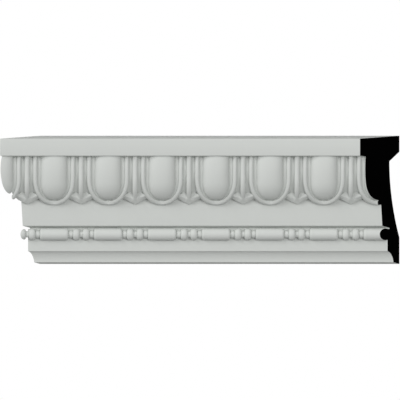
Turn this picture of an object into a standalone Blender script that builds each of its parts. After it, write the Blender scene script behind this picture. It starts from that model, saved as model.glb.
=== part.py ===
"""Chair rail with an egg-and-dart band and a bead-and-reel row, cast in one piece.

X runs along the rail, the wall is the plane Y = 0 and the face looks towards -Y. The
origin is on the lower wall pad, half way along the back. Heights below are measured
from the rail's lower edge and depths from the wall. Everything is in metres.
"""

import math

import bmesh
import bpy

# Overall size
HEIGHT = 0.1143
DEPTH = 0.0354
LENGTH = 0.320
MITRE_ANGLE = math.radians(45)

# Top fillet
TOP_FALL = 0.0027
FILLET_HEIGHT = 0.0152
FILLET_DRAFT = 0.0010

# Back: two wall pads with a relieved hollow between them
UPPER_PAD = 0.0143
LOWER_PAD = 0.0236
RELIEF_DEPTH = 0.0090
RELIEF_CHAMFER = 0.0084

# Egg-and-dart band: its repeat, its lowest edge and the swelling that carries it
PITCH = 0.0480
BAND_FOOT = 0.0528
SWELL_HEIGHT = 0.0847
SWELL_RISE = 0.0104
SWELL_FOOT_DEPTH = 0.0187
SWELL_FULLNESS = 1.8

# Ground between the shells and the darts, and where it has curled under
BED_DEPTH = 0.0290
BED_CURL = 0.0236
BED_MARGIN = 0.0004

# Egg, with a round foot below its straight sides
EGG_WIDTH = 0.0234
EGG_RISE = 0.0059
EGG_ROUND = 0.0150
EGG_FULLNESS = 2.2

# Shell rim round each egg, and the hollow between the two
RIM_WIDTH = 0.0042
RIM_FOOT_WIDTH = 0.0038
RIM_ROUND = 0.0202
RIM_FULLNESS = 2.6
RIM_OUTLINE_FULLNESS = 2.35
RIM_CREST_DEPTH = 0.0321
RIM_CREST_FOOT_DEPTH = 0.0195
HOLLOW_WIDTH = 0.0030
HOLLOW_FOOT_WIDTH = 0.0006

# Dart
DART_WIDTH = 0.0045
DART_ROUND = 0.0016
DART_CREST_DEPTH = 0.0321
DART_FALL_START = 0.0767
DART_FALL_RADIUS = 0.0227
DART_FALL_ANGLE = math.radians(45)
DART_TIP_RISE = 0.0005

# Barbs: two wings with a peaked top above a bevelled lower edge
BARB_SPAN = 0.0190
BARB_JOIN_RISE = 0.0046
BARB_BEVEL = 0.0046
BARB_END_BEVEL = 0.0028
BARB_EDGE_DEPTH = 0.0196
WING_DEPTH = 0.0222
WING_LEAN = 0.12
WING_RISE = 0.0046
WING_PEAK_RISE = 0.0018
WING_PEAK_OFFSET = 0.0044
WING_STEP = 0.0005
SHAFT_PROUD = 0.0001

# Fascia
FASCIA_TOP_DEPTH = 0.0168
FASCIA_FOOT_DEPTH = 0.0154
FASCIA_FOOT = 0.0341
FASCIA_SLOPE = 0.0018

# Quirk behind the bead row, lower flat, cove and underside
QUIRK_DEPTH = 0.0090
QUIRK_HEIGHT = 0.0010
FLAT_DEPTH = 0.0107
COVE_TOP = 0.0114
COVE_DEPTH = 0.0053
COVE_FOOT = 0.0016
COVE_FULLNESS = 1.7

# Bead-and-reel row
BEAD_RADIUS = 0.0052
BEAD_AXIS_DEPTH = 0.0125
BEAD_AXIS_HEIGHT = 0.0265
REEL_LENGTH = 0.0256
REEL_ROUND = 0.0024
REEL_BLUNTNESS = 0.7
BEAD_LENGTH = 0.0062
BEAD_SPACING = 0.0087
BEAD_BLUNTNESS = 0.75
SPACER_RADIUS = 0.0033
SPACER_LENGTH = 0.0032
SPACER_OFFSET = 0.0147
NECK_RADIUS = 0.0028

# Fineness of the rounded shapes
ARC_STEPS = 10
SIDE_STEPS = 3
RIM_STEPS = 4
EGG_STEPS = 4
SHAFT_STEPS = 3
REEL_END_STEPS = 3
BEAD_STEPS = 4
SPACER_STEPS = 2
BEAD_SIDES = 12
END_SPARE = 0.010
MERGE_DISTANCE = 1e-6
SMOOTH_ANGLE = math.radians(35)

PAINT_COLOUR = (0.62, 0.64, 0.62, 1.0)
PAINT_ROUGHNESS = 0.55

# Heights that follow from the sizes above, stacked from the band's lowest edge
RIM_INNER_FOOT = BAND_FOOT + RIM_FOOT_WIDTH
RIM_SHOULDER = RIM_INNER_FOOT + RIM_ROUND
EGG_FOOT = RIM_INNER_FOOT + HOLLOW_FOOT_WIDTH
EGG_SHOULDER = EGG_FOOT + EGG_ROUND
SWELL_REACH = SWELL_HEIGHT - (RIM_INNER_FOOT + EGG_FOOT) / 2
CREST_REACH = SWELL_HEIGHT - (BAND_FOOT + RIM_INNER_FOOT) / 2
DART_TIP = BAND_FOOT + DART_TIP_RISE
BARB_JOIN = DART_TIP + BARB_JOIN_RISE
WING_TOP = BARB_JOIN + WING_RISE
BED_END = BARB_JOIN + BED_MARGIN
QUIRK_TOP = FASCIA_FOOT - FASCIA_SLOPE
QUIRK_FOOT = QUIRK_TOP - QUIRK_HEIGHT
CARVING_TOP = HEIGHT - TOP_FALL - FILLET_HEIGHT / 2


def world(x, depth, height):
    """Turn a place along the rail, a depth and a height into a point of the model."""
    return (x, -depth, height - LOWER_PAD / 2)


def left_end(depth):
    """Where the left mitre cuts the rail at this depth."""
    return -LENGTH / 2 - depth * math.tan(MITRE_ANGLE)


def right_end(depth):
    """Where the right mitre cuts the rail at this depth."""
    return LENGTH / 2 - depth * math.tan(MITRE_ANGLE)


def steps(start, end, count):
    """Evenly spaced values from start to end, both included."""
    return [start + (end - start) * i / count for i in range(count + 1)]


def blend(start, end, share):
    """The value that lies this share of the way from start to end."""
    return start + (end - start) * share


def rounded(share, fullness):
    """Height of a round hump, 1 in the middle and 0 where the share reaches 1."""
    return max(0.0, 1 - abs(share) ** fullness) ** (1 / fullness)


def swell(height, foot_depth, rise, reach):
    """Depth of a surface that bulges forward as a half ellipse, upright at SWELL_HEIGHT."""
    share = min(1.0, abs(height - SWELL_HEIGHT) / reach)
    return foot_depth + rise * rounded(share, SWELL_FULLNESS)


def floor_depth(height):
    """Depth of the hollow inside a shell."""
    return swell(height, SWELL_FOOT_DEPTH, SWELL_RISE, SWELL_REACH)


def bed_depth(height):
    """Depth of the ground between the shells and the darts."""
    return swell(height, SWELL_FOOT_DEPTH, BED_DEPTH - SWELL_FOOT_DEPTH, BED_CURL)


def crest_depth(height):
    """Depth of the crest of a shell's rim."""
    return swell(height, RIM_CREST_FOOT_DEPTH, RIM_CREST_DEPTH - RIM_CREST_FOOT_DEPTH, CREST_REACH)


def back_profile():
    """Lower edge to upper edge up the back, with the relief as a long shallow arc."""
    relief_top = HEIGHT - UPPER_PAD - RELIEF_CHAMFER
    span = relief_top - LOWER_PAD
    arc = []
    for height in steps(LOWER_PAD, relief_top, ARC_STEPS):
        share = (relief_top - height) / span
        arc.append((RELIEF_DEPTH * (1 - share ** 2), height))
    return [(0.0, 0.0)] + arc + [(0.0, HEIGHT - UPPER_PAD), (0.0, HEIGHT)]


def front_profile():
    """Upper edge to lower edge down the front, without the carved ornament."""
    fillet_top = HEIGHT - TOP_FALL
    fillet_foot = fillet_top - FILLET_HEIGHT
    bed_top = fillet_foot - FILLET_DRAFT
    points = [(DEPTH, fillet_top), (DEPTH, fillet_foot)]
    points += [(bed_depth(height), height) for height in steps(bed_top, BED_END, ARC_STEPS)]
    points += [(FASCIA_TOP_DEPTH, BED_END), (FASCIA_FOOT_DEPTH, FASCIA_FOOT)]
    points += [(QUIRK_DEPTH, QUIRK_TOP), (QUIRK_DEPTH, QUIRK_FOOT)]
    points += [(FLAT_DEPTH, QUIRK_FOOT), (FLAT_DEPTH, COVE_TOP)]
    for turn in steps(0.0, math.pi / 2, ARC_STEPS // 2)[1:]:
        back = COVE_DEPTH * math.sin(turn) ** (2 / COVE_FULLNESS)
        rise = (COVE_TOP - COVE_FOOT) * math.cos(turn) ** (2 / COVE_FULLNESS)
        points.append((FLAT_DEPTH - back, COVE_FOOT + rise))
    return points


def new_object(name, bm):
    """Wrap a bmesh as an object in the scene."""
    bmesh.ops.recalc_face_normals(bm, faces=bm.faces)
    mesh = bpy.data.meshes.new(name)
    bm.to_mesh(mesh)
    bm.free()
    built = bpy.data.objects.new(name, mesh)
    bpy.context.scene.collection.objects.link(built)
    return built


def loft(bm, loops):
    """Raise a closed body through loops that all have the same number of points."""
    base = bm.faces.new([bm.verts.new(point) for point in loops[0]])
    cap = base
    for loop in loops[1:]:
        made = bmesh.ops.extrude_face_region(bm, geom=[cap])["geom"]
        raised = next(item for item in made if isinstance(item, bmesh.types.BMFace))
        for vert, point in zip(raised.verts, loop):
            vert.co = point
        if cap is not base:
            bmesh.ops.delete(bm, geom=[cap], context="FACES_ONLY")
        cap = raised


def u_shell(bm, rows):
    """Close a body whose front is a skin over nested U-shaped rows of points.

    The first row is the back edge and the last one runs close round the middle line,
    where rungs join its two mirrored sides. All the rows start and end at the same height.
    """
    grid = [[bm.verts.new(point) for point in row] for row in rows]
    for outer, inner in zip(grid, grid[1:]):
        for i in range(len(outer) - 1):
            bm.faces.new((outer[i], outer[i + 1], inner[i + 1], inner[i]))
    last = grid[-1]
    for i in range(len(last) // 2 - 1):
        bm.faces.new((last[i], last[i + 1], last[-2 - i], last[-1 - i]))
    bm.faces.new(grid[0])
    bm.faces.new([row[0] for row in grid] + [row[-1] for row in reversed(grid)])


def plain_run():
    """The moulding's section, run out past both mitres."""
    section = back_profile() + front_profile()
    start = left_end(DEPTH) - END_SPARE
    end = right_end(0.0) + END_SPARE
    bm = bmesh.new()
    loft(bm, [[world(x, depth, height) for depth, height in section] for x in (start, end)])
    return new_object("chair_rail", bm)


def u_outline(half_width, shoulder, foot, fullness):
    """Half-open U in x and height: straight sides down to the shoulder, then a round foot.

    The points run down the right side, round the foot and up the left side. An even
    number of them keeps the two sides mirrored.
    """
    right = [(half_width, height) for height in steps(CARVING_TOP, shoulder, SIDE_STEPS)]
    for turn in steps(0.0, math.pi / 2, ARC_STEPS)[1:-1]:
        across = half_width * math.cos(turn) ** (2 / fullness)
        right.append((across, blend(shoulder, foot, math.sin(turn) ** (2 / fullness))))
    return right + [(-x, height) for x, height in reversed(right)]


def egg_in_shell(bm, centre):
    """One egg with the hollow round it and the shell's rim, as a closed body."""
    def ring(half_width, shoulder, foot, fullness, depth_at):
        outline = u_outline(half_width, shoulder, foot, fullness)
        return [world(centre + x, depth_at(height), height) for x, height in outline]

    def rim_ring(share, depth_at):
        half_width = EGG_WIDTH / 2 + HOLLOW_WIDTH + RIM_WIDTH * share
        foot = blend(RIM_INNER_FOOT, BAND_FOOT, share)
        return ring(half_width, RIM_SHOULDER, foot, RIM_OUTLINE_FULLNESS, depth_at)

    loops = [rim_ring(1.0, lambda height: FLAT_DEPTH)]
    for turn in steps(0.0, math.pi, RIM_STEPS):
        lift = rounded(math.cos(turn), RIM_FULLNESS)

        def rim_depth(height, lift=lift):
            low = min(floor_depth(height), crest_depth(height) - RIM_WIDTH / 3)
            return blend(low, crest_depth(height), lift)

        loops.append(rim_ring((1 + math.cos(turn)) / 2, rim_depth))
    for turn in steps(0.0, math.pi / 2, EGG_STEPS + 1)[:-1]:
        share = math.cos(turn)
        rise = EGG_RISE * rounded(share, EGG_FULLNESS)
        foot = blend(EGG_SHOULDER, EGG_FOOT, share)
        loops.append(ring(EGG_WIDTH / 2 * share, EGG_SHOULDER, foot, EGG_FULLNESS,
                          lambda height, rise=rise: floor_depth(height) + rise))
    u_shell(bm, loops)


def dart_depth(height):
    """Crest of a dart: upright, then an arc that turns into a straight slope."""
    fall = max(0.0, DART_FALL_START - height)
    curved = min(fall, DART_FALL_RADIUS * math.sin(DART_FALL_ANGLE))
    drop = DART_FALL_RADIUS - math.sqrt(DART_FALL_RADIUS ** 2 - curved ** 2)
    return DART_CREST_DEPTH - drop - (fall - curved) * math.tan(DART_FALL_ANGLE)


def dart_shaft(bm, centre):
    """The upright part of a dart: a rounded ridge that narrows to the tip."""
    heights = steps(CARVING_TOP, BARB_JOIN, ARC_STEPS // 2) + [DART_TIP + DART_WIDTH / 4]

    def ridge(share, depth_at):
        right = []
        for height in heights:
            taper = min(1.0, (height - DART_TIP) / (BARB_JOIN - DART_TIP))
            right.append((DART_WIDTH / 2 * share * taper, depth_at(height), height))
        mirrored = [(-x, depth, height) for x, depth, height in reversed(right)]
        return [world(centre + x, depth, height) for x, depth, height in right + mirrored]

    loops = [ridge(1.0, lambda height: FLAT_DEPTH)]
    for turn in steps(0.0, math.pi / 2, SHAFT_STEPS)[:-1]:
        drop = DART_ROUND * (1 - math.sin(turn))
        loops.append(ridge(math.cos(turn), lambda height, drop=drop: dart_depth(height) - drop))
    u_shell(bm, loops)


def barb_slice(x, peak):
    """Section of the barbs at this place: back, sunk top edge, wing, bevel and lower edge."""
    reach = BARB_SPAN / 2
    foot = blend(DART_TIP, BARB_JOIN, abs(x) / reach)
    ridge = foot + blend(BARB_BEVEL, BARB_END_BEVEL, abs(x) / reach)
    top = WING_TOP + WING_PEAK_RISE * peak

    def wing(height):
        lean = WING_DEPTH + WING_LEAN * (height - BARB_JOIN)
        return min(lean, dart_depth(height) - SHAFT_PROUD)

    edge = min(BARB_EDGE_DEPTH, dart_depth(foot) - SHAFT_PROUD)
    sunk = top + WING_STEP
    return [(FLAT_DEPTH, sunk), (bed_depth(sunk) - WING_STEP, sunk), (wing(top), top),
            (wing(ridge), ridge), (edge, foot), (FLAT_DEPTH, foot)]


def dart_barbs(bm, centre):
    """The arrow head that joins a dart to the shells on both sides of it."""
    reach = BARB_SPAN / 2 + RIM_WIDTH / 4
    half = [(0.0, 0.0), (WING_PEAK_OFFSET, 1.0), (reach, 0.0)]
    places = [(-x, peak) for x, peak in reversed(half[1:])] + half
    loft(bm, [[world(centre + x, depth, height) for depth, height in barb_slice(x, peak)]
              for x, peak in places])


def turned_bead(middle, length, radius, bluntness, count):
    """Stations of one rounded element of the row, as place along X and radius."""
    stations = []
    for turn in steps(-math.pi / 2, math.pi / 2, count):
        rise = max(0.0, math.cos(turn)) ** bluntness
        stations.append((middle + length / 2 * math.sin(turn), blend(NECK_RADIUS, radius, rise)))
    return stations


def row_unit():
    """Stations of one repeat of the row: reel, spacer, two beads, spacer."""
    reel = []
    for turn in steps(0.0, math.pi / 2, REEL_END_STEPS):
        rise = max(0.0, math.cos(turn)) ** REEL_BLUNTNESS
        reel.append((REEL_LENGTH / 2 - REEL_ROUND * (1 - math.sin(turn)),
                     blend(NECK_RADIUS, BEAD_RADIUS, rise)))
    unit = [(-x, radius) for x, radius in reversed(reel)] + reel
    beads = [PITCH / 2 - BEAD_SPACING / 2, PITCH / 2 + BEAD_SPACING / 2]
    unit += turned_bead(SPACER_OFFSET, SPACER_LENGTH, SPACER_RADIUS, REEL_BLUNTNESS, SPACER_STEPS)
    for middle in beads:
        unit += turned_bead(middle, BEAD_LENGTH, BEAD_RADIUS, BEAD_BLUNTNESS, BEAD_STEPS)
    unit += turned_bead(PITCH - SPACER_OFFSET, SPACER_LENGTH, SPACER_RADIUS, REEL_BLUNTNESS,
                        SPACER_STEPS)
    return unit


def egg_centres():
    """Egg centres along X, counted from the left mitre's front corner."""
    first = left_end(DEPTH)
    count = math.ceil((right_end(0.0) - first) / PITCH) + 1
    return [first + PITCH * i for i in range(count)]


def bead_row():
    """The whole bead-and-reel row, turned about one axis."""
    stations = [(centre + x, radius) for centre in egg_centres() for x, radius in row_unit()]
    bm = bmesh.new()
    ring = [(stations[0][0], 0.0)] + stations + [(stations[-1][0], 0.0)]
    verts = [bm.verts.new(world(x, BEAD_AXIS_DEPTH + radius, BEAD_AXIS_HEIGHT))
             for x, radius in ring]
    edges = [bm.edges.new(pair) for pair in zip(verts, verts[1:])]
    bmesh.ops.spin(bm, geom=verts + edges, cent=world(0.0, BEAD_AXIS_DEPTH, BEAD_AXIS_HEIGHT),
                   axis=(1, 0, 0), angle=math.tau, steps=BEAD_SIDES, use_merge=True)
    bmesh.ops.remove_doubles(bm, verts=bm.verts, dist=MERGE_DISTANCE)
    return new_object("bead_row_shape", bm)


def repeated(name, shape, centres):
    """One object that holds the same shape at several places along the rail."""
    bm = bmesh.new()
    for centre in centres:
        shape(bm, centre)
    return new_object(name, bm)


def mitre_block():
    """The space between the two mitre cuts, taller and deeper than the rail."""
    near = -END_SPARE
    far = DEPTH + END_SPARE
    plan = [(left_end(near), near), (left_end(far), far), (right_end(far), far), (right_end(near), near)]
    bm = bmesh.new()
    loft(bm, [[world(x, depth, height) for x, depth in plan]
              for height in (-END_SPARE, HEIGHT + END_SPARE)])
    return new_object("mitre_block", bm)


def combine(target, tool, operation):
    """Join, or trim, the target with a tool shape that stays out of the render."""
    tool.hide_render = True
    tool.display_type = "WIRE"
    modifier = target.modifiers.new(tool.name, "BOOLEAN")
    modifier.operation = operation
    modifier.solver = "EXACT"
    modifier.object = tool


def paint_material():
    """White factory primer."""
    material = bpy.data.materials.new("white_primer")
    material.use_nodes = True
    shader = material.node_tree.nodes["Principled BSDF"]
    shader.inputs["Base Color"].default_value = PAINT_COLOUR
    shader.inputs["Roughness"].default_value = PAINT_ROUGHNESS
    shader.inputs["Metallic"].default_value = 0.0
    return material


def build():
    """Clear the scene and make the chair rail."""
    for old in list(bpy.data.objects):
        bpy.data.objects.remove(old, do_unlink=True)
    eggs = egg_centres()
    darts = [centre + PITCH / 2 for centre in eggs]
    rail = plain_run()
    combine(rail, repeated("egg_shapes", egg_in_shell, eggs), "UNION")
    combine(rail, repeated("dart_shapes", dart_shaft, darts), "UNION")
    combine(rail, repeated("barb_shapes", dart_barbs, darts), "UNION")
    combine(rail, bead_row(), "UNION")
    combine(rail, mitre_block(), "INTERSECT")
    rail.data.materials.append(paint_material())
    rail.data.shade_smooth()
    rail.data.set_sharp_from_angle(angle=SMOOTH_ANGLE)


build()
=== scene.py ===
# %% [markdown]
# A moulded chair rail, primed white.
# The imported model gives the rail's place and outer size. This script replaces its plain solid
# with a finely modelled casting, gives that its paint, and lights it as in a small studio.

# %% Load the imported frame
import math

import bmesh
import bpy
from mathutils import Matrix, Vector


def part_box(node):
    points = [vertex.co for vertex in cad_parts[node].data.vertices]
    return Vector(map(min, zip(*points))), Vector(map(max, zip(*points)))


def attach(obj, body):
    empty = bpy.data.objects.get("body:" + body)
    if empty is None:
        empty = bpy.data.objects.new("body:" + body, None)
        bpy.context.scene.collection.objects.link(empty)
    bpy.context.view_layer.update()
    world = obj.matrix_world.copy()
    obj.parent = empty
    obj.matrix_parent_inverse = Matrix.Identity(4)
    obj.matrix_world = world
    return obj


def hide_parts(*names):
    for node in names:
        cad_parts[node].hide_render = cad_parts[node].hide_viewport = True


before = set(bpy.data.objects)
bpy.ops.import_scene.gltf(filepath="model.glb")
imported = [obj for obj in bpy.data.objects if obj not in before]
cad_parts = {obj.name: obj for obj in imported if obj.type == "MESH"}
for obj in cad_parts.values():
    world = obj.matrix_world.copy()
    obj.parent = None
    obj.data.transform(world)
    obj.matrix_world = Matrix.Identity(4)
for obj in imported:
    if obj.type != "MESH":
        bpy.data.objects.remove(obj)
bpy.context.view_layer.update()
NODE = "chair_rail"
low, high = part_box(NODE)
print("pieces in the frame:", list(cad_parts))

# %% [markdown]
# The rail runs along X, its back lies on the wall plane Y = 0 and its face looks towards -Y.
# Both ends are cut at 45 degrees and lean the same way, so the front edge is as long as the back
# one, only shifted by the rail's depth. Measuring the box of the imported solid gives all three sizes.

# %% Overall sizes, from the frame
DEPTH = -low.y
HEIGHT = high.z - low.z
LENGTH = high.x - low.x - DEPTH
print(f"rail {LENGTH * 1000:.1f} long, {DEPTH * 1000:.1f} deep, {HEIGHT * 1000:.1f} mm high")


def place(x, depth, height):
    """A point of the model from its place along the rail, depth off the wall and height."""
    return Vector((x, -depth, low.z + height))


def left_end(depth):
    """Where the left mitre cuts the rail at this depth."""
    return low.x + DEPTH - depth


def right_end(depth):
    """Where the right mitre cuts the rail at this depth."""
    return high.x - depth


def steps(start, end, count):
    """Evenly spaced values from start to end, both included."""
    return [start + (end - start) * i / count for i in range(count + 1)]


# %% [markdown]
# A moulding is read from its section. The plain members come first: a sloping top, an upright
# fillet, the swelling bed under the carving, the fascia, a narrow quirk that draws a dark line under
# it, the lower flat and a small cove. The back is relieved between two pads, so that the rail sits
# well on an uneven wall. The section could be drawn as one curve, but a list of corners with the
# arcs worked out keeps each member's size plain.

# %% Sizes of the plain members
TOP_FALL = 0.0027
FILLET_HEIGHT = 0.0152
FILLET_DRAFT = 0.0010
UPPER_PAD = 0.0143
LOWER_PAD = 0.0236
RELIEF_DEPTH = 0.0090
RELIEF_CHAMFER = 0.0084
FASCIA_TOP_DEPTH = 0.0168
FASCIA_FOOT_DEPTH = 0.0154
FASCIA_FOOT = 0.0341
FASCIA_SLOPE = 0.0018
QUIRK_DEPTH = 0.0090
QUIRK_HEIGHT = 0.0010
FLAT_DEPTH = 0.0107
COVE_TOP = 0.0114
COVE_DEPTH = 0.0053
COVE_FULLNESS = 1.7
COVE_FOOT = 0.0016
print(f"the fascia is {FASCIA_FOOT_DEPTH * 1000:.1f} mm off the wall at its foot")

# %% Sizes of the egg-and-dart band
PITCH = 0.0480
BAND_FOOT = 0.0528
SWELL_HEIGHT = 0.0847
SWELL_RISE = 0.0104
SWELL_FOOT_DEPTH = 0.0187
SWELL_FULLNESS = 1.8
BED_DEPTH = 0.0290
BED_CURL = 0.0236
EGG_WIDTH = 0.0234
EGG_RISE = 0.0059
EGG_ROUND = 0.0150
EGG_FULLNESS = 2.2
EGG_OUTLINE = 2.2
RIM_WIDTH = 0.0042
RIM_FOOT_WIDTH = 0.0038
RIM_ROUND = 0.0202
RIM_FULLNESS = 2.6
RIM_OUTLINE = 2.35
RIM_CREST_DEPTH = 0.0321
RIM_CREST_FOOT_DEPTH = 0.0195
HOLLOW_WIDTH = 0.0030
HOLLOW_FOOT_WIDTH = 0.0006
DART_WIDTH = 0.0045
DART_CREST_DEPTH = 0.0321
DART_FALL_START = 0.0767
DART_FALL_RADIUS = 0.0227
DART_TIP_RISE = 0.0005
BARB_SPAN = 0.0190
BARB_JOIN_RISE = 0.0046

RIM_INNER_FOOT = BAND_FOOT + RIM_FOOT_WIDTH
RIM_SHOULDER = RIM_INNER_FOOT + RIM_ROUND
EGG_FOOT = RIM_INNER_FOOT + HOLLOW_FOOT_WIDTH
EGG_SHOULDER = EGG_FOOT + EGG_ROUND
SWELL_REACH = SWELL_HEIGHT - (RIM_INNER_FOOT + EGG_FOOT) / 2
CREST_REACH = SWELL_HEIGHT - (BAND_FOOT + RIM_INNER_FOOT) / 2
DART_TIP = BAND_FOOT + DART_TIP_RISE
BARB_JOIN = DART_TIP + BARB_JOIN_RISE
CARVING_TOP = HEIGHT - TOP_FALL - FILLET_HEIGHT / 2
print(f"egg {EGG_WIDTH * 1000:.1f} mm wide in a repeat of {PITCH * 1000:.1f} mm")

# %% [markdown]
# The carving rides on a bulge: seen in section, a half ellipse that is upright in the upper third
# and curls under at the foot. One function gives that depth at any height, and every carved
# surface is measured from it, so the eggs, rims and darts all lean the same way.

# %% The swelling that carries the carving
def swell(height, foot_depth, rise, reach):
    """Depth of a surface that bulges forward as a half ellipse, upright at SWELL_HEIGHT."""
    share = min(1.0, abs(height - SWELL_HEIGHT) / reach)
    return foot_depth + rise * (1 - share ** SWELL_FULLNESS) ** (1 / SWELL_FULLNESS)


def floor_depth(height):
    """The hollow inside a shell."""
    return swell(height, SWELL_FOOT_DEPTH, SWELL_RISE, SWELL_REACH)


def bed_depth(height):
    """The ground between shell and dart, which curls under sooner."""
    return swell(height, SWELL_FOOT_DEPTH, BED_DEPTH - SWELL_FOOT_DEPTH, BED_CURL)


def crest_depth(height):
    """The crest of a shell's rim."""
    rise = RIM_CREST_DEPTH - RIM_CREST_FOOT_DEPTH
    return swell(height, RIM_CREST_FOOT_DEPTH, rise, CREST_REACH)


print(f"floor of a shell {floor_depth(SWELL_HEIGHT) * 1000:.1f} mm off the wall at its fullest")

# %% The plain section
ARC = 40
ARRIS = 0.00025


def back_points():
    """Lower edge to upper edge up the relieved back."""
    relief_top = HEIGHT - UPPER_PAD - RELIEF_CHAMFER
    arc = []
    for height in steps(LOWER_PAD, relief_top, ARC):
        share = (relief_top - height) / (relief_top - LOWER_PAD)
        arc.append((RELIEF_DEPTH * (1 - share ** 2), height))
    return [(0.0, 0.0)] + arc + [(0.0, HEIGHT - UPPER_PAD), (0.0, HEIGHT)]


def front_points():
    """Upper edge to lower edge down the front, without the carving."""
    fillet_top = HEIGHT - TOP_FALL
    fillet_foot = fillet_top - FILLET_HEIGHT
    bed_foot = BARB_JOIN + ARRIS
    quirk_top = FASCIA_FOOT - FASCIA_SLOPE
    quirk_foot = quirk_top - QUIRK_HEIGHT
    points = [(DEPTH, fillet_top), (DEPTH, fillet_foot)]
    bed = steps(fillet_foot - FILLET_DRAFT, bed_foot, ARC)
    points += [(bed_depth(height), height) for height in bed]
    points += [(FASCIA_TOP_DEPTH, bed_foot), (FASCIA_FOOT_DEPTH, FASCIA_FOOT)]
    points += [(QUIRK_DEPTH, quirk_top), (QUIRK_DEPTH, quirk_foot)]
    points += [(FLAT_DEPTH, quirk_foot), (FLAT_DEPTH, COVE_TOP)]
    for turn in steps(0.0, math.pi / 2, ARC // 2)[1:]:
        depth = FLAT_DEPTH - COVE_DEPTH * math.sin(turn) ** (2 / COVE_FULLNESS)
        rise = (COVE_TOP - COVE_FOOT) * max(0.0, math.cos(turn)) ** (2 / COVE_FULLNESS)
        points.append((depth, COVE_FOOT + rise))
    return points


section = back_points() + front_points()
print(len(section), "corners in the plain section")

# %% [markdown]
# The section becomes a solid when its face is extruded along the rail. It runs past both mitres
# and is trimmed at the very end, as a long casting is sawn to length. The long arrises get a fine
# bevel: no casting leaves its mould with a knife edge, and the bevel catches a thin line of light.

# %% The plain run
SPARE = 0.012
ARRIS_ANGLE = 25
ARRIS_STEPS = 3


def make_object(name, bm):
    """Turn a bmesh into an object of the scene with its faces pointing out."""
    bmesh.ops.recalc_face_normals(bm, faces=bm.faces)
    mesh = bpy.data.meshes.new(name)
    bm.to_mesh(mesh)
    bm.free()
    made = bpy.data.objects.new(name, mesh)
    bpy.context.scene.collection.objects.link(made)
    return made


def plain_run():
    """Extrude the section along the rail and soften its long arrises."""
    bm = bmesh.new()
    start = left_end(DEPTH) - SPARE
    face = bm.faces.new([bm.verts.new(place(start, *corner)) for corner in section])
    grown = bmesh.ops.extrude_face_region(bm, geom=[face])["geom"]
    moved = [item for item in grown if isinstance(item, bmesh.types.BMVert)]
    bmesh.ops.translate(bm, verts=moved, vec=(right_end(0.0) + SPARE - start, 0, 0))
    bmesh.ops.recalc_face_normals(bm, faces=bm.faces)
    long_edges = []
    for edge in bm.edges:
        along = abs(edge.verts[0].co.x - edge.verts[1].co.x) > LENGTH / 2
        if along and edge.calc_face_angle(0.0) > math.radians(ARRIS_ANGLE):
            long_edges.append(edge)
    bmesh.ops.bevel(bm, geom=long_edges, offset=ARRIS, segments=ARRIS_STEPS, profile=0.5,
                    affect="EDGES", material=-1, clamp_overlap=True)
    print(len(long_edges), "arrises softened")
    return make_object("rail", bm)


rail = plain_run()

# %% [markdown]
# An egg in its shell is symmetric about its middle line and round at its foot. So one row of
# points, from the middle line out over the egg, the hollow and the rim, is spun half a turn to make
# the round foot, and the row it started from is then extruded up for the straight sides. That gives
# a flat fan of rings. A second step moves each point to its real place: its ring says how far
# forward it stands, and the outlines of egg and rim say how full the round foot is.

# %% Rings across one half of an egg and its shell
EGG_RINGS = 16
HOLLOW_RINGS = 4
RIM_RINGS = 14
FOOT_STEPS = 56
SIDE_ROWS = 16
FOOT_SWEEP = 4
SAME_POINT = 1e-6
half_egg = EGG_WIDTH / 2
hollow_end = half_egg + HOLLOW_WIDTH
rim_end = hollow_end + RIM_WIDTH

ring_radii = [half_egg * math.sin(turn) for turn in steps(0.0, math.pi / 2, EGG_RINGS)]
ring_radii += steps(half_egg, hollow_end, HOLLOW_RINGS)[1:]
for turn in steps(0.0, math.pi, RIM_RINGS)[1:]:
    ring_radii.append(hollow_end + RIM_WIDTH * (1 - math.cos(turn)) / 2)
print(len(ring_radii), "rings from the middle line to the rim's outer side")


def blend(a, b, share):
    """Straight mix of two values."""
    return a + (b - a) * share


def outline_at(radius):
    """Shoulder, foot and fullness of the outline that passes this ring."""
    if radius <= half_egg:
        foot = EGG_SHOULDER - EGG_ROUND * radius / half_egg
        return EGG_SHOULDER, foot, EGG_OUTLINE
    if radius <= hollow_end:
        share = (radius - half_egg) / HOLLOW_WIDTH
        shoulder = blend(EGG_SHOULDER, RIM_SHOULDER, share)
        foot = blend(EGG_FOOT, RIM_INNER_FOOT, share)
        return shoulder, foot, blend(EGG_OUTLINE, RIM_OUTLINE, share)
    share = (radius - hollow_end) / RIM_WIDTH
    return RIM_SHOULDER, blend(RIM_INNER_FOOT, BAND_FOOT, share), RIM_OUTLINE


def height_at(radius, side, turn):
    """Height of a ring: up its straight side by a share, or round its foot by an angle."""
    shoulder, foot, fullness = outline_at(radius)
    if side > 0:
        return blend(shoulder, CARVING_TOP, side)
    return blend(shoulder, foot, max(0.0, math.sin(turn)) ** (2 / fullness))


def shell_depth(radius, side, turn):
    """How far off the wall the skin stands on this ring, up its side or round its foot."""
    height = height_at(radius, side, turn)
    floor = floor_depth(height)
    if radius <= half_egg:
        hump = max(0.0, 1 - (radius / half_egg) ** EGG_FULLNESS) ** (1 / EGG_FULLNESS)
        return floor + EGG_RISE * hump
    if radius <= hollow_end:
        return floor
    across = 2 * (radius - hollow_end) / RIM_WIDTH - 1
    hump = max(0.0, 1 - abs(across) ** RIM_FULLNESS) ** (1 / RIM_FULLNESS)
    base = floor if across < 0 else bed_depth(height)
    swept = 0.0 if side > 0 else math.sin(turn) ** FOOT_SWEEP
    middle = height_at((hollow_end + rim_end) / 2, side, turn)
    crest = crest_depth(blend(height, middle, swept))
    return base + (crest - base) * hump


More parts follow.
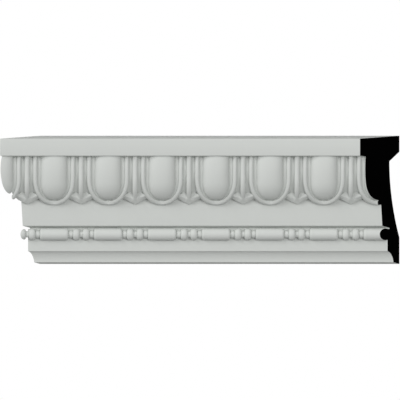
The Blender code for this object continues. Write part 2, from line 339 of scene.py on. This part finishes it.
# %% Spin, extrude and shape one egg in its shell
def close_back(bm, depth):
    """Draw a skin's open rim straight back to one depth and fill the hole there."""
    rim = [edge for edge in bm.edges if edge.is_boundary]
    grown = bmesh.ops.extrude_edge_only(bm, edges=rim)["geom"]
    for vert in (item for item in grown if isinstance(item, bmesh.types.BMVert)):
        vert.co.y = -depth
    back = [item for item in grown if isinstance(item, bmesh.types.BMEdge)]
    bmesh.ops.edgeloop_fill(bm, edges=[edge for edge in back if edge.is_boundary])


def egg_in_shell():
    """One egg with its hollow and rim, centred on X = 0, closed at the back."""
    bm = bmesh.new()
    row = [bm.verts.new((radius, 0, 0)) for radius in ring_radii]
    edges = [bm.edges.new(pair) for pair in zip(row, row[1:])]
    bmesh.ops.spin(bm, geom=row + edges, cent=(0, 0, 0), axis=(0, 1, 0),
                   angle=math.pi, steps=FOOT_STEPS, use_merge=False)
    bmesh.ops.remove_doubles(bm, verts=bm.verts, dist=SAME_POINT / 10)
    row = [edge for edge in bm.edges
           if all(abs(vert.co.z) < SAME_POINT for vert in edge.verts)]
    for _ in range(SIDE_ROWS):
        grown = bmesh.ops.extrude_edge_only(bm, edges=row)["geom"]
        verts = [item for item in grown if isinstance(item, bmesh.types.BMVert)]
        bmesh.ops.translate(bm, verts=verts, vec=(0, 0, 1.0))
        row = [item for item in grown if isinstance(item, bmesh.types.BMEdge)
               and abs(item.verts[0].co.z - item.verts[1].co.z) < 0.5]
    for vert in bm.verts:
        x, _, z = vert.co
        side = max(0.0, z / SIDE_ROWS)
        radius = abs(x) if side > 0 else math.hypot(x, z)
        turn = math.atan2(-z, abs(x)) if radius > 0 else math.pi / 2
        if side == 0:
            fullness = outline_at(radius)[2]
            x = math.copysign(radius * max(0.0, math.cos(turn)) ** (2 / fullness), x)
        vert.co = place(x, shell_depth(radius, side, turn), height_at(radius, side, turn))
    close_back(bm, FLAT_DEPTH)
    return bm


def repeated(name, shape, centres):
    """One object that holds the same closed shape at several places along the rail."""
    single = shape()
    mesh = bpy.data.meshes.new(name + "_single")
    single.to_mesh(mesh)
    single.free()
    bm = bmesh.new()
    for centre in centres:
        known = len(bm.verts)
        bm.from_mesh(mesh)
        bm.verts.ensure_lookup_table()
        bmesh.ops.translate(bm, verts=bm.verts[known:], vec=(centre, 0, 0))
    bpy.data.meshes.remove(mesh)
    return make_object(name, bm)


egg_count = math.ceil((right_end(0.0) - left_end(DEPTH)) / PITCH) + 1
egg_centres = [left_end(DEPTH) + PITCH * i for i in range(egg_count)]
eggs = repeated("eggs", egg_in_shell, egg_centres)
print(len(egg_centres), "eggs,", len(eggs.data.polygons), "faces")

# %% [markdown]
# A dart is an arrow: a slim rounded shaft with two barbs that spread against the shells beside it.
# Both are reliefs with nothing undercut, so a flat grid is the easiest start. Its columns run
# across the arrow and its rows down it, and each grid point is moved to its place.

# %% Darts
SHAFT_COLUMNS = 14
SHAFT_ROWS = 60
DART_TAPER = 0.0105
DART_TIP_SHARE = 0.35
DART_ROUND = 0.0016
DART_SLOPE = 45


def dart_crest(height):
    """Crest of a dart: upright, then an arc that turns into a 45 degree slope."""
    fall = max(0.0, DART_FALL_START - height)
    curved = min(fall, DART_FALL_RADIUS * math.sin(math.radians(DART_SLOPE)))
    drop = DART_FALL_RADIUS - math.sqrt(DART_FALL_RADIUS ** 2 - curved ** 2)
    return DART_CREST_DEPTH - drop - (fall - curved)


def relief_grid(columns, rows, move):
    """A grid whose points are moved by their shares across (-1 to 1) and down (0 to 1)."""
    bm = bmesh.new()
    bmesh.ops.create_grid(bm, x_segments=columns, y_segments=rows, size=1.0)
    for vert in bm.verts:
        vert.co = move(vert.co.x, min(1.0, max(0.0, (1 - vert.co.y) / 2)))
    close_back(bm, FLAT_DEPTH)
    return bm


def dart_shaft():
    """The upright shaft, which narrows to the arrow's tip."""
    def move(across, down):
        height = blend(CARVING_TOP, DART_TIP, down)
        taper = min(1.0, blend(DART_TIP_SHARE, 1.0, (height - DART_TIP) / DART_TAPER))
        half_width = DART_WIDTH / 2 * taper
        turn = across * math.pi / 2
        round_off = DART_ROUND * (1 - math.cos(turn))
        return place(half_width * math.sin(turn), dart_crest(height) - round_off, height)

    return relief_grid(SHAFT_COLUMNS, SHAFT_ROWS, move)


dart_centres = [centre + PITCH / 2 for centre in egg_centres]
shafts = repeated("dart_shafts", dart_shaft, dart_centres)
print(len(shafts.data.polygons), "faces in the shafts")

# %% Barbs
BARB_COLUMNS = 72
BARB_ROWS = 50
BARB_BEVEL = 0.0046
BARB_END_BEVEL = 0.0028
WING_TOP = 0.0625
WING_PEAK_RISE = 0.0018
WING_PEAK_OFFSET = 0.0044
WING_PEAK_SPAN = 0.0026
WING_STEP = 0.0005
WING_DEPTH = 0.0222
WING_LEAN = 0.12
WING_FALL = 0.0008
WING_SIDE_RISE = 0.0022
VALLEY_FOOT_OFFSET = 0.0022
BARB_EDGE_DEPTH = 0.0196
SHAFT_PROUD = 0.0001
STEP_SHARE = 0.1
WING_SHARE = 0.5
BEVEL_SHARE = 0.4
BEVEL_BLUNTNESS = 1.2
reach = BARB_SPAN / 2 + RIM_WIDTH / 4


def barb_pair():
    """Two hollow wings with a peaked top above a bevelled lower edge."""
    def wing_depth(side, height):
        up = height - BARB_JOIN
        valley = blend(VALLEY_FOOT_OFFSET, WING_PEAK_OFFSET, up / (WING_TOP - BARB_JOIN))
        if side < valley:
            fold = WING_FALL * (1 - side / valley)
        else:
            fold = WING_SIDE_RISE * (side - valley) / (reach - valley)
        return WING_DEPTH + WING_LEAN * up + fold

    def move(across, down):
        side = abs(across) * reach
        foot = blend(DART_TIP, BARB_JOIN, side / (BARB_SPAN / 2))
        ridge = foot + blend(BARB_BEVEL, BARB_END_BEVEL, side / reach)
        peak = max(0.0, 1 - abs(side - WING_PEAK_OFFSET) / WING_PEAK_SPAN)
        top = WING_TOP + WING_PEAK_RISE * peak
        if down < STEP_SHARE:
            sunk = 1 - down / STEP_SHARE
            height = top + WING_STEP * sunk
            depth = blend(wing_depth(side, top), bed_depth(height) - WING_STEP, sunk)
        elif down < STEP_SHARE + WING_SHARE:
            height = blend(top, ridge, (down - STEP_SHARE) / WING_SHARE)
            depth = wing_depth(side, height)
        else:
            fall = (down - STEP_SHARE - WING_SHARE) / BEVEL_SHARE
            height = blend(ridge, foot, fall)
            depth = blend(wing_depth(side, ridge), BARB_EDGE_DEPTH, fall ** BEVEL_BLUNTNESS)
        return place(across * reach, min(depth, dart_crest(height) - SHAFT_PROUD), height)

    return relief_grid(BARB_COLUMNS, BARB_ROWS, move)


barbs = repeated("barbs", barb_pair, dart_centres)
print(len(barbs.data.polygons), "faces in the barbs")

# %% [markdown]
# The bead-and-reel row is turned work: a long reel, a thin spacer, two beads and a spacer again.
# Its outline is one line of points along the axis, and a full spin about that axis makes the solid.

# %% Bead-and-reel row
BEAD_RADIUS = 0.0052
BEAD_AXIS_DEPTH = 0.0125
BEAD_AXIS_HEIGHT = 0.0265
REEL_LENGTH = 0.0256
REEL_ROUND = 0.0024
REEL_BLUNTNESS = 0.7
BEAD_LENGTH = 0.0062
BEAD_SPACING = 0.0087
BEAD_BLUNTNESS = 0.75
SPACER_RADIUS = 0.0033
SPACER_LENGTH = 0.0032
SPACER_OFFSET = 0.0147
SPACER_BLUNTNESS = 0.7
NECK_RADIUS = 0.0028
TURNED_SIDES = 48
END_STEPS = 8
SPACER_STEPS = 8
BEAD_STEPS = 14


def bulge(middle, half_length, radius, count, bluntness):
    """Outline of one turned bulge as places along the axis and radii."""
    points = []
    for turn in steps(-math.pi / 2, math.pi / 2, count):
        rise = max(0.0, math.cos(turn)) ** bluntness
        points.append((middle + half_length * math.sin(turn),
                       NECK_RADIUS + (radius - NECK_RADIUS) * rise))
    return points


def reel_points():
    """Outline of the long reel, with its two ends rounded over."""
    end = []
    for turn in steps(0.0, math.pi / 2, END_STEPS):
        rise = max(0.0, math.cos(turn)) ** REEL_BLUNTNESS
        end.append((REEL_LENGTH / 2 - REEL_ROUND * (1 - math.sin(turn)),
                    NECK_RADIUS + (BEAD_RADIUS - NECK_RADIUS) * rise))
    return [(-x, radius) for x, radius in reversed(end)] + end


def spacer_points(middle):
    """Outline of one thin spacer."""
    return bulge(middle, SPACER_LENGTH / 2, SPACER_RADIUS, SPACER_STEPS, SPACER_BLUNTNESS)


def bead_points(middle):
    """Outline of one bead."""
    return bulge(middle, BEAD_LENGTH / 2, BEAD_RADIUS, BEAD_STEPS, BEAD_BLUNTNESS)


row_unit = reel_points() + spacer_points(SPACER_OFFSET)
row_unit += bead_points((PITCH - BEAD_SPACING) / 2) + bead_points((PITCH + BEAD_SPACING) / 2)
row_unit += spacer_points(PITCH - SPACER_OFFSET)


def bead_row():
    """Turn the whole row about its axis."""
    outline = [(centre + x, radius) for centre in egg_centres for x, radius in row_unit]
    outline = [(outline[0][0], 0.0)] + outline + [(outline[-1][0], 0.0)]
    bm = bmesh.new()
    verts = [bm.verts.new(place(x, BEAD_AXIS_DEPTH + radius, BEAD_AXIS_HEIGHT))
             for x, radius in outline]
    edges = [bm.edges.new(pair) for pair in zip(verts, verts[1:])]
    bmesh.ops.spin(bm, geom=verts + edges, cent=place(0, BEAD_AXIS_DEPTH, BEAD_AXIS_HEIGHT),
                   axis=(1, 0, 0), angle=math.tau, steps=TURNED_SIDES, use_merge=True)
    bmesh.ops.remove_doubles(bm, verts=bm.verts, dist=SAME_POINT)
    return make_object("bead_row", bm)


beads = bead_row()
print(len(beads.data.polygons), "faces in the bead-and-reel row")

# %% [markdown]
# The casting is one solid, so the shapes are united with Boolean modifiers, whose result is then
# kept as the rail's own mesh. Two bisecting planes saw the mitres, and the open cuts are filled.
# The cut faces get the second material slot.

# %% Unite the shapes and saw the mitres
SHARP_ANGLE = 32

for tool in (eggs, shafts, barbs, beads):
    union = rail.modifiers.new(tool.name, "BOOLEAN")
    union.operation = "UNION"
    union.solver = "EXACT"
    union.object = tool
seen = rail.evaluated_get(bpy.context.evaluated_depsgraph_get())
united = bpy.data.meshes.new_from_object(seen)
rail.modifiers.clear()
for tool in (eggs, shafts, barbs, beads):
    bpy.data.objects.remove(tool, do_unlink=True)
print("united into", len(united.polygons), "faces")


def saw(bm, point, normal):
    """Cut off what lies beyond a plane and close the cut."""
    whole = list(bm.verts) + list(bm.edges) + list(bm.faces)
    bmesh.ops.bisect_plane(bm, geom=whole, dist=SAME_POINT, plane_co=point, plane_no=normal,
                           clear_outer=True)
    rim = [edge for edge in bm.edges if edge.is_boundary]
    for face in bmesh.ops.holes_fill(bm, edges=rim, sides=0)["faces"]:
        face.material_index = 1


bm = bmesh.new()
bm.from_mesh(united)
saw(bm, place(left_end(0.0), 0.0, 0.0), (-1, 1, 0))
saw(bm, place(right_end(0.0), 0.0, 0.0), (1, -1, 0))
print("open edges:", sum(1 for edge in bm.edges if not edge.is_manifold))
bm.to_mesh(rail.data)
bm.free()
bpy.data.meshes.remove(united)
rail.data.shade_smooth()
rail.data.set_sharp_from_angle(angle=math.radians(SHARP_ANGLE))
triangles = sum(len(face.vertices) - 2 for face in rail.data.polygons)
print(triangles, "triangles in the casting")

# %% [markdown]
# Shader maths reads best as sums. This small class wraps an output socket, and its operators add
# the Math nodes. Any other node comes from its one method.

# %% A pen for writing materials
class Wire:
    """An output socket that can be used in sums."""

    def __init__(self, tree, socket):
        self.tree = tree
        self.socket = socket

    def node(self, kind, settings=None, output=0, **inputs):
        """Add a node, set it up, feed its named inputs and return one of its outputs."""
        return add_node(self.tree, kind, settings, output, **inputs)

    def math(self, operation, other, swapped=False):
        pair = (other, self) if swapped else (self, other)
        node = self.tree.nodes.new("ShaderNodeMath")
        node.operation = operation
        for socket, value in zip(node.inputs, pair):
            feed(self.tree, socket, value)
        return Wire(self.tree, node.outputs[0])

    def __add__(self, other):
        return self.math("ADD", other)

    __radd__ = __add__

    def __mul__(self, other):
        return self.math("MULTIPLY", other)

    __rmul__ = __mul__

    def __sub__(self, other):
        return self.math("SUBTRACT", other)

    def __rsub__(self, other):
        return self.math("SUBTRACT", other, swapped=True)


def feed(tree, socket, value):
    """Link a wire to a socket, or set the socket's own value."""
    if isinstance(value, Wire):
        tree.links.new(value.socket, socket)
    else:
        socket.default_value = value


def add_node(tree, kind, settings=None, output=0, **inputs):
    """Add a node; names of inputs are written with underscores for spaces."""
    node = tree.nodes.new(kind)
    for name, value in (settings or {}).items():
        setattr(node, name, value)
    for name, value in inputs.items():
        feed(tree, node.inputs[name.replace("_", " ")], value)
    return Wire(tree, node.outputs[output])


def new_material(name):
    """A material with its tree, its shader and a wire that carries Object coordinates."""
    material = bpy.data.materials.new(name)
    material.use_nodes = True
    tree = material.node_tree
    shader = tree.nodes["Principled BSDF"]
    place_wire = add_node(tree, "ShaderNodeTexCoord", output="Object")
    return material, tree, shader, place_wire


# %% [markdown]
# The rail is sold primed: a thin sprayed coat, nearly white with a breath of green, satin rather
# than glossy. Sprayed paint is never quite even. A broad, faint noise varies its colour and sheen
# by a few parts in a hundred, and a fine one gives the orange-peel skin as a bump.

# %% White primer
PRIMER = (0.640, 0.662, 0.637, 1.0)
PRIMER_THIN = (0.625, 0.645, 0.624, 1.0)
CLOUD_SCALE = 45.0
PEEL_SCALE = 900.0
PEEL_HEIGHT = 0.0002
PEEL_STRENGTH = 0.05
SHEEN_LOW = 0.52
SHEEN_RANGE = 0.12
PRIMER_GLOSS = 0.3


def colour_mix(tree, shader, factor, first, second):
    """Mix two colours by a wire and lead the result to the shader's colour."""
    mix = tree.nodes.new("ShaderNodeMix")
    mix.data_type = "RGBA"
    feed(tree, mix.inputs[0], factor)
    mix.inputs[6].default_value = first
    mix.inputs[7].default_value = second
    tree.links.new(mix.outputs[2], shader.inputs["Base Color"])


def primer_material():
    """Satin white primer."""
    material, tree, shader, place_wire = new_material("white_primer")
    cloud = add_node(tree, "ShaderNodeTexNoise", Vector=place_wire, Scale=CLOUD_SCALE, Detail=3.0)
    peel = add_node(tree, "ShaderNodeTexNoise", Vector=place_wire, Scale=PEEL_SCALE, Detail=2.0)
    colour_mix(tree, shader, cloud, PRIMER, PRIMER_THIN)
    feed(tree, shader.inputs["Roughness"], SHEEN_LOW + SHEEN_RANGE * cloud)
    bump = add_node(tree, "ShaderNodeBump", Strength=PEEL_STRENGTH, Distance=PEEL_HEIGHT,
                    Height=peel)
    tree.links.new(bump.socket, shader.inputs["Normal"])
    shader.inputs["Specular IOR Level"].default_value = PRIMER_GLOSS
    return material


# %% [markdown]
# The sawn ends are sealed with a flat black coat. It is matt enough to show no light at all, so a
# shader without any specular share does it, and a fine grain keeps the rough sawn look close by.

# %% Sealed cut
CUT_DARK = (0.0004, 0.0004, 0.0004, 1.0)
CUT_PALE = (0.0016, 0.0016, 0.0016, 1.0)
GRAIN_SCALE = 700.0
CUT_ROUGHNESS = 0.85
CUT_ROUGHNESS_RANGE = 0.1


def cut_material():
    """Flat black seal on the sawn ends."""
    material, tree, shader, place_wire = new_material("sealed_cut")
    grain = add_node(tree, "ShaderNodeTexNoise", Vector=place_wire, Scale=GRAIN_SCALE, Detail=4.0)
    colour_mix(tree, shader, grain, CUT_DARK, CUT_PALE)
    feed(tree, shader.inputs["Roughness"], CUT_ROUGHNESS + CUT_ROUGHNESS_RANGE * grain)
    shader.inputs["Specular IOR Level"].default_value = 0.0
    return material


rail.data.materials.append(primer_material())
rail.data.materials.append(cut_material())
print("materials:", [slot.name for slot in rail.data.materials])

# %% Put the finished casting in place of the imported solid
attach(rail, "root")
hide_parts(NODE)
rail.name = "chair_rail_casting"
print(rail.name, "takes the place of", NODE)

# %% [markdown]
# The stage is plain: a pale floor well below the rail and a white surround that the camera sees as
# pure white but that lights the rail only faintly. The key light comes from the upper left. A
# smaller one near the camera reaches into the grooves, and a level one from behind shows the back.
# Suns suit a rail better than area lights do, because they light its whole length alike.

# %% Floor, surround and lights
FLOOR_DROP = 1.2
FLOOR_HALF = 0.9
FLOOR_COLOUR = (0.86, 0.86, 0.86, 1.0)
FLOOR_ROUGHNESS = 0.9
AMBIENT = 0.245
BROAD = 50
NARROW = 25


def studio_floor():
    """A pale square that sends some light back up."""
    bm = bmesh.new()
    bmesh.ops.create_grid(bm, x_segments=1, y_segments=1, size=FLOOR_HALF)
    bmesh.ops.translate(bm, verts=bm.verts, vec=(0, 0, low.z - FLOOR_DROP))
    floor = make_object("studio_floor", bm)
    material = bpy.data.materials.new("pale_floor")
    material.use_nodes = True
    shader = material.node_tree.nodes["Principled BSDF"]
    shader.inputs["Base Color"].default_value = FLOOR_COLOUR
    shader.inputs["Roughness"].default_value = FLOOR_ROUGHNESS
    floor.data.materials.append(material)


def sun(name, azimuth, elevation, strength, spread):
    """A sun that shines from this direction; azimuth 0 is the camera's side, + to its right."""
    light = bpy.data.lights.new(name, "SUN")
    light.energy = strength
    light.angle = math.radians(spread)
    lamp = bpy.data.objects.new(name, light)
    a, e = math.radians(azimuth), math.radians(elevation)
    towards = Vector((math.sin(a) * math.cos(e), -math.cos(a) * math.cos(e), math.sin(e)))
    lamp.rotation_mode = "QUATERNION"
    lamp.rotation_quaternion = towards.to_track_quat("Z", "Y")
    bpy.context.scene.collection.objects.link(lamp)


studio_floor()
sun("key_light", azimuth=-45, elevation=25, strength=1.70, spread=BROAD)
sun("fill_light", azimuth=20, elevation=10, strength=1.03, spread=NARROW)
sun("back_light", azimuth=180, elevation=0, strength=0.60, spread=BROAD)

world = bpy.data.worlds.new("white_surround")
world.use_nodes = True
bpy.context.scene.world = world
tree = world.node_tree
background = tree.nodes["Background"]
background.inputs["Color"].default_value = (1.0, 1.0, 1.0, 1.0)
seen_directly = add_node(tree, "ShaderNodeLightPath", output="Is Camera Ray")
feed(tree, background.inputs["Strength"], seen_directly * (1 - AMBIENT) + AMBIENT)
bpy.context.scene.view_settings.view_transform = "Standard"
print(len(bpy.data.lights), "lights, surround at", AMBIENT)

# %% [markdown]
# The photograph looks straight at the rail from far away: the back edge and the front edge differ
# in length by only two parts in a thousand. So the camera stands many metres off with a very long
# lens. The image is 400 pixels square, and the rail's full height spans 128.3 of them.

# %% Camera
IMAGE = 400
RAIL_PIXELS = 128.3
MIDDLE_X = -0.01764
MIDDLE_HEIGHT = 0.05705
DISTANCE_PIXELS = 16000
SENSOR = 36
scale = HEIGHT / RAIL_PIXELS
camera_data = bpy.data.cameras.new("camera")
camera_data.sensor_width = SENSOR
camera_data.lens = SENSOR * DISTANCE_PIXELS / IMAGE
camera_data.clip_start = 1.0
camera_data.clip_end = 100.0
camera = bpy.data.objects.new("camera", camera_data)
camera.location = (MIDDLE_X, -DISTANCE_PIXELS * scale, low.z + MIDDLE_HEIGHT)
camera.rotation_euler = (math.radians(90), 0, 0)
bpy.context.scene.collection.objects.link(camera)
bpy.context.scene.camera = camera
print(f"{scale * 1000:.4f} mm to a pixel, camera {DISTANCE_PIXELS * scale:.2f} m away")
